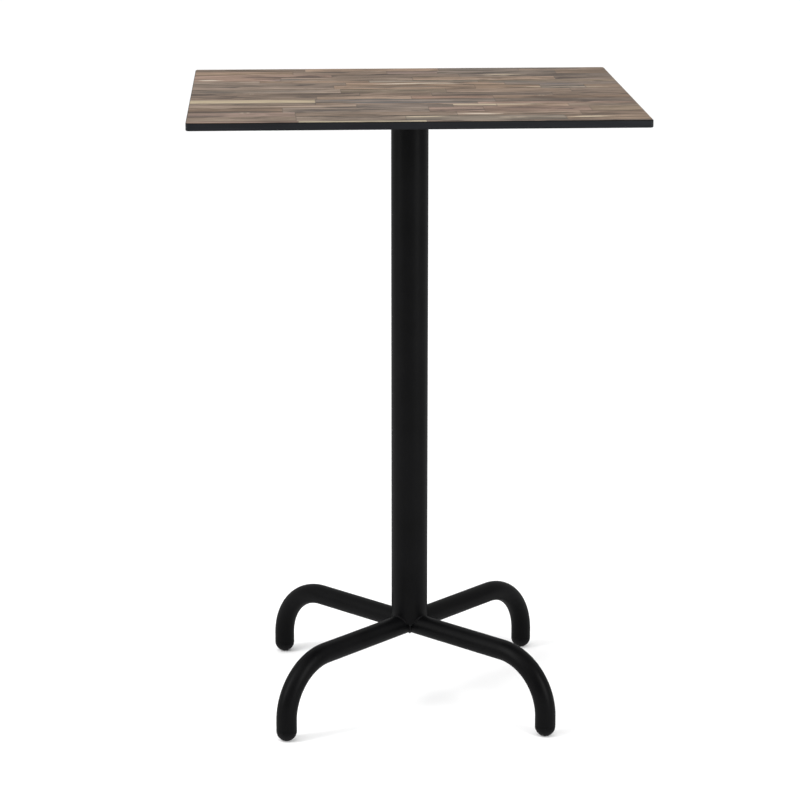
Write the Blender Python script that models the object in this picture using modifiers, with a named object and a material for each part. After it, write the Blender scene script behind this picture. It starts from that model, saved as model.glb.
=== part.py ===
"""Bistro table: a compact laminate top on a round column with four bent tube legs.

Lengths are in metres and +Z is up. The origin is on the floor under the column's axis,
and the front of the table faces -Y. Every leg, arm and foot is made once, pointing along
+X from the column's axis, and its four copies are turned about that axis.
"""
import math

import bmesh
import bpy
from mathutils import Matrix, Vector

GAP = 0.0003                    # clearance between neighbouring solids

# Tabletop
HEIGHT = 1.020                  # floor to the upper face
TOP_WIDTH = 0.700               # along X
TOP_DEPTH = 0.600               # along Y
TOP_THICKNESS = 0.012
TOP_CORNER_RADIUS = 0.005
CORNER_STEPS = 4                # straight pieces in each rounded corner
SHEET_THICKNESS = 0.0005        # decor sheet above the core, backing sheet below it
SHEET_EASE = 0.0003             # softened outer rim of both sheets

# Column
COLUMN_RADIUS = 0.03015
COLUMN_WALL = 0.002
COLUMN_SIDES = 40
COLUMN_TAB_RISE = 0.0055        # the column's tabs end this far above the legs' axis

# Legs
LEG_RADIUS = 0.01685
LEG_WALL = 0.002
LEG_AXIS_HEIGHT = 0.1245
LEG_BEND_RADIUS = 0.092
LEG_BEND_STEPS = 9
LEG_SIDES = 24
FOOT_CIRCLE_RADIUS = 0.297      # column axis to the axis of a foot

# Levelling feet: a domed pad on a stud, which turns in a nut held by a plug in the leg
PAD_HEIGHT = 0.0155
PAD_CONTACT_RADIUS = 0.004      # the flat that stands on the floor
PAD_RINGS = 6
PAD_SOCKET_FLOOR = 0.006        # height at which the stud's socket ends
PLUG_FLANGE = 0.0015
PLUG_TOP = 0.036
PLUG_CLEARANCE = 0.00045        # to the leg's inner corners, so that its flats clear too
STUD_RADIUS = 0.004
STUD_TOP = 0.048
NUT_WIDTH = 0.013               # across flats
NUT_HEIGHT = 0.0065
THREAD_CLEARANCE = 0.00035      # stands in for a thread's engagement

# Support arms under the top: rectangular tube, with a plastic cap at the outer end
ARM_WIDTH = 0.030
ARM_HEIGHT = 0.015
ARM_WALL = 0.0015
ARM_EDGE_RADIUS = 0.002         # more than the wall, so that the inside is rounded too
ARM_REACH = 0.245               # column axis to the tube's outer end
CAP_FLANGE = 0.0025
CAP_STUB = 0.012

# Fixings: screws through the arms into threaded inserts in the core
SCREW_POSITIONS = {"inner": 0.085, "outer": 0.215}     # distance from the column's axis
SCREW_RADIUS = 0.0029
SCREW_LENGTH = 0.025            # under the head
SCREW_HEAD_RADIUS = 0.00525
SCREW_HEAD_HEIGHT = 0.0033
SCREW_HEAD_SHOULDER = 0.85      # the dome's two rings, as shares of the head's radius
SCREW_HEAD_FACE = 0.6
PIN_CHAMFER = 0.25              # end chamfer of a threaded pin, as a share of its radius
SOCKET_WIDTH = 0.004            # hexagon across flats
SOCKET_DEPTH = 0.002
CLEARANCE_HOLE_RADIUS = 0.0033
WASHER_RADIUS = 0.00625
WASHER_THICKNESS = 0.0016
INSERT_RADIUS = 0.0044
INSERT_LENGTH = 0.008
INSERT_HOLE_RADIUS = 0.0048
INSERT_HOLE_DEPTH = 0.0084
SMALL_SIDES = 16                # sides of a small hole
PIN_SIDES = 12                  # sides of a small pin

SHARP_ANGLE = math.radians(35)  # edges sharper than this stay crisp when shaded
FAR = 0.5                       # longer than any piece that a cutter passes through
MERGE = 0.00001                 # distance under which modifiers merge vertices

# Directions of the legs, feet and arms about the column
CORNERS = {
    "front_left": math.radians(225),
    "front_right": math.radians(315),
    "back_right": math.radians(45),
    "back_left": math.radians(135),
}

# Levels worked out from the sizes above
UNDERSIDE = HEIGHT - TOP_THICKNESS
CORE_BOTTOM = UNDERSIDE + SHEET_THICKNESS + GAP
CORE_TOP = HEIGHT - SHEET_THICKNESS - GAP
FRAME_TOP = UNDERSIDE - GAP
ARM_BOTTOM = FRAME_TOP - ARM_HEIGHT
WASHER_TOP = ARM_BOTTOM - GAP
SCREW_SEAT = WASHER_TOP - WASHER_THICKNESS - GAP
COLUMN_BOTTOM = LEG_AXIS_HEIGHT + COLUMN_TAB_RISE
LEG_END = PAD_HEIGHT + GAP + PLUG_FLANGE + GAP
NUT_BOTTOM = PLUG_TOP - NUT_HEIGHT


# ------------------------------------------------------------------ scene and materials

def clear_scene():
    for old in list(bpy.data.objects):
        bpy.data.objects.remove(old, do_unlink=True)


def make_collection(name):
    collection = bpy.data.collections.new(name)
    bpy.context.scene.collection.children.link(collection)
    return collection


def make_material(name, color, roughness, metallic):
    material = bpy.data.materials.new(name)
    material.use_nodes = True
    shader = material.node_tree.nodes["Principled BSDF"]
    shader.inputs["Base Color"].default_value = (*color, 1.0)
    shader.inputs["Roughness"].default_value = roughness
    shader.inputs["Metallic"].default_value = metallic
    return material


clear_scene()
PARTS = make_collection("bistro_table")
CUTTERS = make_collection("cutters")

DECOR = make_material("reclaimed_wood_decor", (0.27, 0.21, 0.17), 0.55, 0.0)
CORE = make_material("black_laminate_core", (0.018, 0.020, 0.025), 0.50, 0.0)
STEEL = make_material("black_powder_coat", (0.012, 0.012, 0.014), 0.45, 0.0)
PLASTIC = make_material("black_plastic", (0.010, 0.010, 0.011), 0.50, 0.0)
ZINC = make_material("zinc_plated_steel", (0.55, 0.56, 0.58), 0.35, 1.0)
BRASS = make_material("brass", (0.60, 0.42, 0.16), 0.35, 1.0)


# ------------------------------------------------------------------ modelling helpers

def make_object(name, mesh, collection):
    piece = bpy.data.objects.new(name, mesh)
    collection.objects.link(piece)
    if collection is CUTTERS:
        piece.hide_render = True
        piece.display_type = "WIRE"
    return piece


def mesh_from_bmesh(name, bm):
    mesh = bpy.data.meshes.new(name)
    bm.to_mesh(mesh)
    bm.free()
    return mesh


def baked_mesh(piece):
    """The piece's evaluated mesh, welded; the piece itself is removed."""
    bpy.context.view_layer.update()
    graph = bpy.context.evaluated_depsgraph_get()
    mesh = bpy.data.meshes.new_from_object(piece.evaluated_get(graph))
    bm = bmesh.new()
    bm.from_mesh(mesh)
    bmesh.ops.remove_doubles(bm, verts=bm.verts, dist=MERGE)
    bm.to_mesh(mesh)
    bm.free()
    bpy.data.objects.remove(piece, do_unlink=True)
    return mesh


def placed_mesh(piece):
    """As baked_mesh, with the piece's own placing applied."""
    bpy.context.view_layer.update()
    matrix = piece.matrix_world.copy()
    mesh = baked_mesh(piece)
    mesh.transform(matrix)
    return mesh


def box_cutter(name, size, location, turn=0.0):
    bm = bmesh.new()
    bmesh.ops.create_cube(bm, size=1.0, matrix=Matrix.Diagonal((*size, 1.0)))
    piece = make_object(name, mesh_from_bmesh(name, bm), CUTTERS)
    piece.location = location
    piece.rotation_euler.z = turn
    return piece


def prism_cutter(name, radius, length, location, sides, direction=(0, 0, 1)):
    """A round or polygonal bar, centred on location, lying along direction."""
    bm = bmesh.new()
    bmesh.ops.create_cone(bm, cap_ends=True, segments=sides, radius1=radius, radius2=radius,
                          depth=length)
    piece = make_object(name, mesh_from_bmesh(name, bm), CUTTERS)
    piece.location = location
    piece.rotation_mode = "QUATERNION"
    piece.rotation_quaternion = Vector(direction).to_track_quat("Z", "Y")
    return piece


def boolean(piece, tool, operation):
    modifier = piece.modifiers.new(tool.name, "BOOLEAN")
    modifier.operation = operation
    modifier.solver = "EXACT"
    modifier.object = tool


def turned(name, profile, sides, closed=False):
    """A profile of (radius, height) points spun about Z; its outer side runs downwards."""
    bm = bmesh.new()
    points = [bm.verts.new((radius, 0.0, height)) for radius, height in profile]
    for start, end in zip(points, points[1:]):
        bm.edges.new((start, end))
    if closed:
        bm.edges.new((points[-1], points[0]))
    piece = make_object(name, mesh_from_bmesh(name, bm), PARTS)
    spin = piece.modifiers.new("spin", "SCREW")
    spin.steps = sides
    spin.render_steps = sides
    spin.use_merge_vertices = True
    spin.merge_threshold = MERGE
    return piece


def ring(name, inner, outer, bottom, top, sides):
    profile = [(outer, top), (outer, bottom), (inner, bottom), (inner, top)]
    return turned(name, profile, sides, closed=True)


def hexagon_radius(across_flats):
    return across_flats / 2 / math.cos(math.pi / 6)


def finish(piece, material, parent=None):
    """Give the piece its material and shading, and hang it on its parent."""
    mesh = piece.data
    mesh.materials.clear()
    mesh.materials.append(material)
    mesh.shade_smooth()
    mesh.set_sharp_from_angle(angle=SHARP_ANGLE)
    piece.parent = parent
    return piece


def copies(base_name, mesh, material, parents):
    """One object for each corner of the table, all sharing one mesh."""
    for corner, parent in parents.items():
        finish(make_object(f"{base_name}_{corner}", mesh, PARTS), material, parent)


def make_empty(name, location=(0, 0, 0), turn=0.0, parent=None):
    empty = make_object(name, None, PARTS)
    empty.location = location
    empty.rotation_euler.z = turn
    empty.parent = parent
    return empty


# ------------------------------------------------------------------ tabletop

def corner_arc(centre_x, centre_y, first_angle):
    for step in range(CORNER_STEPS + 1):
        angle = first_angle + step / CORNER_STEPS * math.pi / 2
        yield (centre_x + TOP_CORNER_RADIUS * math.cos(angle),
               centre_y + TOP_CORNER_RADIUS * math.sin(angle))


def top_layer(name, bottom, top):
    """A flat layer of the tabletop's outline between two heights."""
    reach_x = TOP_WIDTH / 2 - TOP_CORNER_RADIUS
    reach_y = TOP_DEPTH / 2 - TOP_CORNER_RADIUS
    outline = []
    for turn, (sign_x, sign_y) in enumerate([(1, 1), (-1, 1), (-1, -1), (1, -1)]):
        outline += corner_arc(sign_x * reach_x, sign_y * reach_y, turn * math.pi / 2)
    curve = bpy.data.curves.new(name, "CURVE")
    curve.dimensions = "2D"
    curve.fill_mode = "BOTH"
    curve.extrude = (top - bottom) / 2
    spline = curve.splines.new("POLY")
    spline.points.add(len(outline) - 1)
    for point, (x, y) in zip(spline.points, outline):
        point.co = (x, y, 0.0, 1.0)
    spline.use_cyclic_u = True
    flat = make_object(name, curve, PARTS)
    mesh = baked_mesh(flat)
    bpy.data.curves.remove(curve)
    layer = make_object(name, mesh, PARTS)
    layer.location.z = (top + bottom) / 2
    return layer


def ease_rim(layer, side):
    """Soften the outer rim of the layer's upper (side 1) or lower (side -1) face."""
    mesh = layer.data
    weights = mesh.attributes.new("bevel_weight_edge", "FLOAT", "EDGE")
    wall_edges = {key for face in mesh.polygons if abs(face.normal.z) < 0.5
                  for key in face.edge_keys}
    for edge in mesh.edges:
        on_face = all(mesh.vertices[index].co.z * side > 0 for index in edge.vertices)
        if on_face and edge.key in wall_edges:
            weights.data[edge.index].value = 1.0
    bevel = layer.modifiers.new("ease", "BEVEL")
    bevel.limit_method = "WEIGHT"
    bevel.width = SHEET_EASE
    bevel.segments = 1


def screw_spots():
    """Name and position of each screw's axis under the top."""
    for corner, turn in CORNERS.items():
        for place, radius in SCREW_POSITIONS.items():
            yield f"{corner}_{place}", radius * math.cos(turn), radius * math.sin(turn)


def make_tabletop(table):
    core = top_layer("tabletop_core", CORE_BOTTOM, CORE_TOP)
    backing = top_layer("tabletop_backing_sheet", UNDERSIDE, UNDERSIDE + SHEET_THICKNESS)
    decor = top_layer("tabletop_decor_sheet", HEIGHT - SHEET_THICKNESS, HEIGHT)
    ease_rim(decor, 1)
    ease_rim(backing, -1)
    hole_end = CORE_BOTTOM + INSERT_HOLE_DEPTH
    cutter_length = hole_end - ARM_BOTTOM
    for spot, x, y in screw_spots():
        hole = prism_cutter(f"insert_hole_{spot}", INSERT_HOLE_RADIUS, cutter_length,
                            (x, y, hole_end - cutter_length / 2), SMALL_SIDES)
        boolean(core, hole, "DIFFERENCE")
        boolean(backing, hole, "DIFFERENCE")
    finish(core, CORE, table)
    finish(backing, CORE, table)
    finish(decor, DECOR, table)


# ------------------------------------------------------------------ column and legs

def make_column(table):
    """The column sits over the cross of legs: half-round notches leave four tabs."""
    column = ring("column_tube", COLUMN_RADIUS - COLUMN_WALL, COLUMN_RADIUS, COLUMN_BOTTOM,
                  FRAME_TOP, COLUMN_SIDES)
    for corner in ("front_left", "front_right"):
        turn = CORNERS[corner]
        notch = prism_cutter(f"leg_notch_{corner}", LEG_RADIUS + GAP, FAR,
                             (0, 0, LEG_AXIS_HEIGHT), LEG_SIDES,
                             (math.cos(turn), math.sin(turn), 0))
        boolean(column, notch, "DIFFERENCE")
    finish(column, STEEL, table)


def leg_path():
    """Centreline from just past the column's axis, out, round the bend and down."""
    bend_start = FOOT_CIRCLE_RADIUS - LEG_BEND_RADIUS
    bend_height = LEG_AXIS_HEIGHT - LEG_BEND_RADIUS
    yield Vector((-LEG_RADIUS, 0, LEG_AXIS_HEIGHT))
    for step in range(LEG_BEND_STEPS + 1):
        angle = step / LEG_BEND_STEPS * math.pi / 2
        yield Vector((bend_start + LEG_BEND_RADIUS * math.sin(angle), 0,
                      bend_height + LEG_BEND_RADIUS * math.cos(angle)))
    yield Vector((FOOT_CIRCLE_RADIUS, 0, LEG_END))


def leg_mesh():
    """A bent tube with walls, mitred to a point where the four legs meet."""
    points = list(leg_path())
    curve = bpy.data.curves.new("leg_path", "CURVE")
    curve.dimensions = "3D"
    curve.bevel_depth = LEG_RADIUS
    curve.bevel_resolution = LEG_SIDES // 2 - 2
    curve.use_fill_caps = False
    spline = curve.splines.new("POLY")
    spline.points.add(len(points) - 1)
    for point, position in zip(spline.points, points):
        point.co = (*position, 1.0)
    skin = baked_mesh(make_object("leg_skin", curve, PARTS))
    bpy.data.curves.remove(curve)
    leg = make_object("leg", skin, PARTS)
    wall = leg.modifiers.new("wall", "SOLIDIFY")
    wall.thickness = LEG_WALL
    wall.offset = -1.0
    wall.use_even_offset = True
    corner = Vector((GAP / 2 * math.sqrt(2), 0, 0))
    quadrant = box_cutter("leg_quadrant", (FAR, FAR, FAR),
                          corner + Vector((FAR / 2 * math.sqrt(2), 0, 0)), math.radians(45))
    boolean(leg, quadrant, "INTERSECT")
    return baked_mesh(leg)


# ------------------------------------------------------------------ levelling feet

def pad_mesh():
    """A dome cut from a ball as wide as the leg, with a socket for the stud on top."""
    centre = math.sqrt(LEG_RADIUS ** 2 - PAD_CONTACT_RADIUS ** 2)
    highest = math.asin((centre - PAD_HEIGHT) / LEG_RADIUS)
    lowest = math.asin(centre / LEG_RADIUS)
    bore = STUD_RADIUS + THREAD_CLEARANCE
    profile = [(0, PAD_SOCKET_FLOOR), (bore, PAD_SOCKET_FLOOR), (bore, PAD_HEIGHT)]
    for ring_number in range(PAD_RINGS + 1):
        angle = highest + ring_number / PAD_RINGS * (lowest - highest)
        profile.append((LEG_RADIUS * math.cos(angle), centre - LEG_RADIUS * math.sin(angle)))
    profile.append((0, 0))
    return baked_mesh(turned("foot_pad", profile, LEG_SIDES))


def stud_mesh():
    bottom = PAD_SOCKET_FLOOR + GAP
    tip = STUD_RADIUS * PIN_CHAMFER
    profile = [(0, STUD_TOP), (STUD_RADIUS - tip, STUD_TOP), (STUD_RADIUS, STUD_TOP - tip),
               (STUD_RADIUS, bottom), (0, bottom)]
    return baked_mesh(turned("foot_stud", profile, PIN_SIDES))


def plug_mesh():
    """A flanged plug in the leg's end, bored for the stud, with a pocket for its nut."""
    body = LEG_RADIUS - LEG_WALL - PLUG_CLEARANCE
    bore = STUD_RADIUS + THREAD_CLEARANCE
    flange_bottom = PAD_HEIGHT + GAP
    flange_top = flange_bottom + PLUG_FLANGE
    profile = [(body, PLUG_TOP), (body, flange_top), (LEG_RADIUS, flange_top),
               (LEG_RADIUS, flange_bottom), (bore, flange_bottom), (bore, PLUG_TOP)]
    plug = turned("foot_plug", profile, LEG_SIDES, closed=True)
    pocket = prism_cutter("nut_pocket", hexagon_radius(NUT_WIDTH + 2 * GAP),
                          2 * (NUT_HEIGHT + GAP), (0, 0, PLUG_TOP), 6)
    boolean(plug, pocket, "DIFFERENCE")
    return baked_mesh(plug)


def nut_mesh():
    """A bored disc trimmed to a hexagon."""
    nut = ring("foot_nut", STUD_RADIUS + THREAD_CLEARANCE, NUT_WIDTH, NUT_BOTTOM, PLUG_TOP,
               SMALL_SIDES)
    hexagon = prism_cutter("nut_hexagon", hexagon_radius(NUT_WIDTH), 4 * NUT_HEIGHT,
                           (0, 0, NUT_BOTTOM), 6)
    boolean(nut, hexagon, "INTERSECT")
    return baked_mesh(nut)


# ------------------------------------------------------------------ support arms and fixings

def arm_mesh():
    """Rectangular tube from the column's wall outwards, drilled for its two screws."""
    inner_end = COLUMN_RADIUS - COLUMN_WALL
    length = ARM_REACH - inner_end
    bm = bmesh.new()
    block = Matrix.Diagonal((length, ARM_WIDTH, ARM_HEIGHT, 1.0))
    bmesh.ops.create_cube(bm, size=1.0, matrix=block)
    open_ends = [face for face in bm.faces if abs(face.normal.x) > 0.5]
    bmesh.ops.delete(bm, geom=open_ends, context="FACES_ONLY")
    arm = make_object("arm", mesh_from_bmesh("arm", bm), PARTS)
    arm.location = (inner_end + length / 2, 0, FRAME_TOP - ARM_HEIGHT / 2)
    edges = arm.modifiers.new("edges", "BEVEL")
    edges.width = ARM_EDGE_RADIUS
    edges.segments = 2
    wall = arm.modifiers.new("wall", "SOLIDIFY")
    wall.thickness = ARM_WALL
    wall.offset = -1.0
    wall.use_even_offset = True
    saddle = prism_cutter("arm_saddle", COLUMN_RADIUS + GAP, FAR, (0, 0, FRAME_TOP), COLUMN_SIDES)
    boolean(arm, saddle, "DIFFERENCE")
    for place, radius in SCREW_POSITIONS.items():
        hole = prism_cutter(f"arm_hole_{place}", CLEARANCE_HOLE_RADIUS, 4 * ARM_HEIGHT,
                            (radius, 0, FRAME_TOP), SMALL_SIDES)
        boolean(arm, hole, "DIFFERENCE")
    return placed_mesh(arm)


def cap_mesh():
    """Plastic cap: a softened plate over the arm's end and a stub inside the tube."""
    bm = bmesh.new()
    plate = Matrix.Diagonal((CAP_FLANGE, ARM_WIDTH, ARM_HEIGHT, 1.0))
    bmesh.ops.create_cube(bm, size=1.0, matrix=plate)
    inner_face = [face for face in bm.faces if face.normal.x < -0.5]
    margin = ARM_WALL + 2 * GAP
    bmesh.ops.inset_region(bm, faces=inner_face, thickness=margin, use_even_offset=True)
    stub = bmesh.ops.extrude_discrete_faces(bm, faces=inner_face)["faces"]
    stub_corners = [corner for face in stub for corner in face.verts]
    bmesh.ops.translate(bm, verts=stub_corners, vec=(-CAP_STUB, 0, 0))
    bmesh.ops.remove_doubles(bm, verts=bm.verts, dist=MERGE)
    cap = make_object("arm_cap", mesh_from_bmesh("arm_cap", bm), PARTS)
    cap.location = (ARM_REACH + GAP + CAP_FLANGE / 2, 0, FRAME_TOP - ARM_HEIGHT / 2)
    edges = cap.modifiers.new("edges", "BEVEL")
    edges.width = CAP_FLANGE / 4
    edges.segments = 1
    return placed_mesh(cap)


def screw_mesh():
    """Button-head screw, its head seated from below, with a hexagon socket."""
    rim = SCREW_HEAD_HEIGHT / 4
    bottom = SCREW_SEAT - SCREW_HEAD_HEIGHT
    tip = SCREW_SEAT + SCREW_LENGTH
    chamfer = SCREW_RADIUS * PIN_CHAMFER
    profile = [(0, tip), (SCREW_RADIUS - chamfer, tip), (SCREW_RADIUS, tip - chamfer),
               (SCREW_RADIUS, SCREW_SEAT), (SCREW_HEAD_RADIUS, SCREW_SEAT),
               (SCREW_HEAD_RADIUS, SCREW_SEAT - rim),
               (SCREW_HEAD_RADIUS * SCREW_HEAD_SHOULDER, bottom + rim),
               (SCREW_HEAD_RADIUS * SCREW_HEAD_FACE, bottom), (0, bottom)]
    screw = turned("screw", profile, PIN_SIDES)
    socket = prism_cutter("screw_socket", hexagon_radius(SOCKET_WIDTH), 2 * SOCKET_DEPTH,
                          (0, 0, bottom), 6)
    boolean(screw, socket, "DIFFERENCE")
    return baked_mesh(screw)


def make_fixings(table):
    """A screw, washer and threaded insert at each of the eight spots under the top."""
    screw = screw_mesh()
    washer = baked_mesh(ring("washer", CLEARANCE_HOLE_RADIUS, WASHER_RADIUS,
                             WASHER_TOP - WASHER_THICKNESS, WASHER_TOP, SMALL_SIDES))
    insert = baked_mesh(ring("insert", CLEARANCE_HOLE_RADIUS, INSERT_RADIUS, CORE_BOTTOM,
                             CORE_BOTTOM + INSERT_LENGTH, PIN_SIDES))
    kinds = (("top_screw", screw, ZINC), ("top_washer", washer, ZINC),
             ("top_insert", insert, BRASS))
    for spot, x, y in screw_spots():
        for name, mesh, material in kinds:
            piece = finish(make_object(f"{name}_{spot}", mesh, PARTS), material, table)
            piece.location = (x, y, 0)


# ------------------------------------------------------------------ the whole table

def build():
    table = make_empty("table")
    sides = {corner: make_empty(f"side_{corner}", turn=turn, parent=table)
             for corner, turn in CORNERS.items()}
    feet = {corner: make_empty(f"foot_axis_{corner}", (FOOT_CIRCLE_RADIUS, 0, 0), 0.0, side)
            for corner, side in sides.items()}
    make_tabletop(table)
    make_column(table)
    copies("leg", leg_mesh(), STEEL, sides)
    copies("foot_pad", pad_mesh(), PLASTIC, feet)
    copies("foot_stud", stud_mesh(), ZINC, feet)
    copies("foot_plug", plug_mesh(), PLASTIC, feet)
    copies("foot_nut", nut_mesh(), ZINC, feet)
    copies("support_arm", arm_mesh(), STEEL, sides)
    copies("arm_cap", cap_mesh(), PLASTIC, sides)
    make_fixings(table)


build()
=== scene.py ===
"""Looks for the bistro table: decor, powder coat, welds, feet and fixings around the CAD frame.

Lengths are in metres in the CAD's frame: +Z up, the front of the table faces -Y.
"""
import math
import random

import bmesh
import bpy
from mathutils import Matrix, Vector


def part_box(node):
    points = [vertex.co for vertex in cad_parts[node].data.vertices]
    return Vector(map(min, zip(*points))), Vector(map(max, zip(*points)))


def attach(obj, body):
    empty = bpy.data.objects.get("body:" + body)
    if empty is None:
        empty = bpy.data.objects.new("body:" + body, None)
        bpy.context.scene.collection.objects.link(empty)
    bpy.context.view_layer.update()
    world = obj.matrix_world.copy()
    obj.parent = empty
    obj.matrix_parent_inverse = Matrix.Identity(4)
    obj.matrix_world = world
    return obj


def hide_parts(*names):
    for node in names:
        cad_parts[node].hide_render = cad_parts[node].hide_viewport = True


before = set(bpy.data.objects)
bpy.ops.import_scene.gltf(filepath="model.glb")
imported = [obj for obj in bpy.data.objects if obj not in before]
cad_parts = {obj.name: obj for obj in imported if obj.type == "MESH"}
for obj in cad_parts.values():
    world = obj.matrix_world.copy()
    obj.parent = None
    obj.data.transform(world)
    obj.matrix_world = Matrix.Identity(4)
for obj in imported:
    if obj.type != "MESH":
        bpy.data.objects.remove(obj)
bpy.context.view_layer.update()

CORNERS = {
    "front_left": math.radians(225),
    "front_right": math.radians(315),
    "back_right": math.radians(45),
    "back_left": math.radians(135),
}
SHARP_ANGLE = math.radians(40)


# ---- sizes read from the frame

def size_of(node):
    low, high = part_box(node)
    return high - low


def centre_of(node):
    low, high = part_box(node)
    return (low + high) / 2


def floor_place(node):
    """The point on the floor under a node's middle."""
    return Vector((*centre_of(node).xy, 0))


def levels_of(node):
    """How high a node's lowest and highest points are."""
    low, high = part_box(node)
    return low.z, high.z


HEIGHT = levels_of("tabletop_decor_sheet")[1]
UNDERSIDE = levels_of("tabletop_backing_sheet")[0]
TOP_HALF_X = size_of("tabletop_core").x / 2
TOP_HALF_Y = size_of("tabletop_core").y / 2
COLUMN_RADIUS = size_of("column_tube").x / 2
COLUMN_BOTTOM, COLUMN_TOP = levels_of("column_tube")
LEG_RADIUS = size_of("foot_plug_front_left").x / 2
LEG_END, LEG_TOP = levels_of("leg_front_left")
LEG_AXIS_HEIGHT = LEG_TOP - LEG_RADIUS
FOOT_CIRCLE_RADIUS = centre_of("foot_pad_front_left").xy.length
PAD_HEIGHT = size_of("foot_pad_front_left").z
PLUG_BOTTOM, PLUG_TOP = levels_of("foot_plug_front_left")
STUD_BOTTOM, STUD_TOP = levels_of("foot_stud_front_left")
ARM_BOTTOM, ARM_TOP = levels_of("support_arm_front_left")


# ---- shader helpers

def new_material(name):
    material = bpy.data.materials.new(name)
    material.use_nodes = True
    return material, material.node_tree


def feed(tree, socket, value):
    """Gives a node's input a value, or links another node's output to it."""
    if isinstance(value, bpy.types.NodeSocket):
        tree.links.new(value, socket)
    else:
        socket.default_value = value


def node(tree, kind, inputs=None, **settings):
    """A shader node; inputs maps a socket's name or number to a value or another socket."""
    made = tree.nodes.new(kind)
    for name, value in settings.items():
        setattr(made, name, value)
    for key, value in (inputs or {}).items():
        feed(tree, made.inputs[key], value)
    return made


def calc(tree, operation, first, second=0.0, third=0.0):
    return node(tree, "ShaderNodeMath", {0: first, 1: second, 2: third},
                operation=operation).outputs[0]


def times(tree, first, second):
    return calc(tree, "MULTIPLY", first, second)


def linear(tree, field, gain, offset):
    return calc(tree, "MULTIPLY_ADD", field, gain, offset)


def centred(tree, field):
    """A noise field moved from around a half to around nought."""
    return calc(tree, "SUBTRACT", field, 0.5)


def blend_colors(tree, factor, first, second, how="MIX"):
    """Mixes two colours, each a socket or a (red, green, blue) triple."""
    first, second = (color if isinstance(color, bpy.types.NodeSocket) else (*color, 1)
                     for color in (first, second))
    return node(tree, "ShaderNodeMix", {0: factor, 6: first, 7: second},
                data_type="RGBA", blend_type=how).outputs[2]


def tinted(tree, color, tint):
    """A colour multiplied by a tint."""
    return blend_colors(tree, 1.0, color, tint, "MULTIPLY")


def combine(tree, operation, first, second):
    """Two vectors put together by a vector operation."""
    return node(tree, "ShaderNodeVectorMath", {0: first, 1: second},
                operation=operation).outputs[0]


def axes(tree, vector):
    """The X, Y and Z sockets of a vector."""
    return node(tree, "ShaderNodeSeparateXYZ", {0: vector}).outputs


def object_place(tree):
    return node(tree, "ShaderNodeTexCoord").outputs["Object"]


def stretched(tree, scale, shift=None):
    """Object coordinates in metres, multiplied by scale along each axis, moved by shift."""
    scaled = combine(tree, "MULTIPLY", object_place(tree), scale)
    return scaled if shift is None else combine(tree, "ADD", scaled, shift)


def noise(tree, vector=None, scale=1.0, detail=3.0, roughness=0.5, distortion=0.0):
    """A noise field over a vector, by default the place on the object in metres."""
    return node(tree, "ShaderNodeTexNoise",
                {"Vector": object_place(tree) if vector is None else vector, "Scale": scale,
                 "Detail": detail, "Roughness": roughness, "Distortion": distortion}).outputs[0]


def ramp(tree, factor, low, high, low_value=0.0, high_value=1.0):
    """low_value up to low, high_value from high, smooth in between."""
    return node(tree, "ShaderNodeMapRange",
                {0: factor, 1: low, 2: high, 3: low_value, 4: high_value},
                interpolation_type="SMOOTHSTEP").outputs[0]


def two_tone(tree, field, low, high, dark, pale):
    """dark up to the field's value low, pale from high."""
    return blend_colors(tree, ramp(tree, field, low, high), dark, pale)


def bump(tree, height, strength, distance, normal=None):
    inputs = {"Height": height, "Strength": strength, "Distance": distance}
    if normal is not None:
        inputs["Normal"] = normal
    return node(tree, "ShaderNodeBump", inputs).outputs[0]


def shade(tree, **inputs):
    shader = tree.nodes["Principled BSDF"]
    for name, value in inputs.items():
        feed(tree, shader.inputs[name.replace("_", " ")], value)


def soften(tree, share, color, normal):
    """Mixes a share of plain diffuse into the shader, which dulls its glancing reflections."""
    shader = tree.nodes["Principled BSDF"]
    diffuse = node(tree, "ShaderNodeBsdfDiffuse",
                   {"Color": color, "Normal": normal, "Roughness": 0.6})
    mixed = node(tree, "ShaderNodeMixShader",
                 {0: share, 1: shader.outputs[0], 2: diffuse.outputs[0]})
    tree.links.new(mixed.outputs[0], tree.nodes["Material Output"].inputs["Surface"])


# ---- materials

GRAIN_SWAY = 0.040  # how far the grain wanders across a stave, peak to peak
GRAIN_RIPPLE = 0.006
SEED_STEPS = (17.3, 31.7, 5.9)  # each stave's seed moves the grain by this along X, Y and Z
STREAK_TIP = 0.045  # a streak narrows over this length at each end
STREAK_FADE = 0.004
STREAK_RAGGED = 2.4  # how far the fibres push a streak's edge, in half widths
JOINT_REACH = 0.0011  # a joint darkens from here to the deepest tone
JOINT_DEEPEST = 0.0004
STAIN_REACH = 0.0085
STAIN_DEEPEST = 0.0005
JOINT_TONE = (0.070, 0.060, 0.053)
CHECK_TONE = (0.060, 0.050, 0.044)
KNOT_RING = (0.36, 0.29, 0.225)
KNOT_HEART = (0.050, 0.040, 0.034)

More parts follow.
